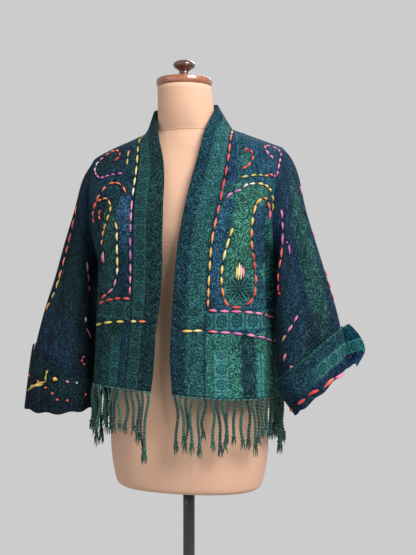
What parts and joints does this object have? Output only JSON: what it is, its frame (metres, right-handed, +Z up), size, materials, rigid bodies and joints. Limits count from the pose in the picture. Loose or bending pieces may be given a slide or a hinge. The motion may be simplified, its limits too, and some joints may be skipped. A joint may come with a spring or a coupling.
{
  "type": "fringed jacket on dress form",
  "caption": "Short open woven jacket with a standing band, wide three-quarter sleeves, turned-back slit cuffs and a hem fringe, worn by a limbless dress form on a pole stand.",
  "frame": {"origin": "centre of the stand's flat underside", "axes": "+Z up; the jacket's front faces -Y; the wearer's left is +X"},
  "size_m": [0.7393, 0.36, 1.5076],
  "materials": {
    "shawl": "matte woven cloth with a slight sheen",
    "shawl_edge": "matte woven cloth with a slight sheen",
    "fringe": "twisted yarn",
    "cover": "matte stretched jersey",
    "mahogany": "glossy varnish",
    "iron": "satin black"
  },
  "bodies": {
    "root": {"jacket_back": "shawl", "jacket_front_left": "shawl", "jacket_front_right": "shawl", "band_left": "shawl_edge", "band_right": "shawl_edge", "sleeve_left": "shawl", "sleeve_right": "shawl", "cuff_left": "shawl_edge", "cuff_right": "shawl_edge", "fringe_front_left": "fringe", "fringe_front_right": "fringe", "fringe_back": "fringe", "form_torso": "cover", "neck_cap": "mahogany", "cap_knob": "mahogany", "stand_pole": "iron", "stand_base": "mahogany"}
  },
  "joints": []
}
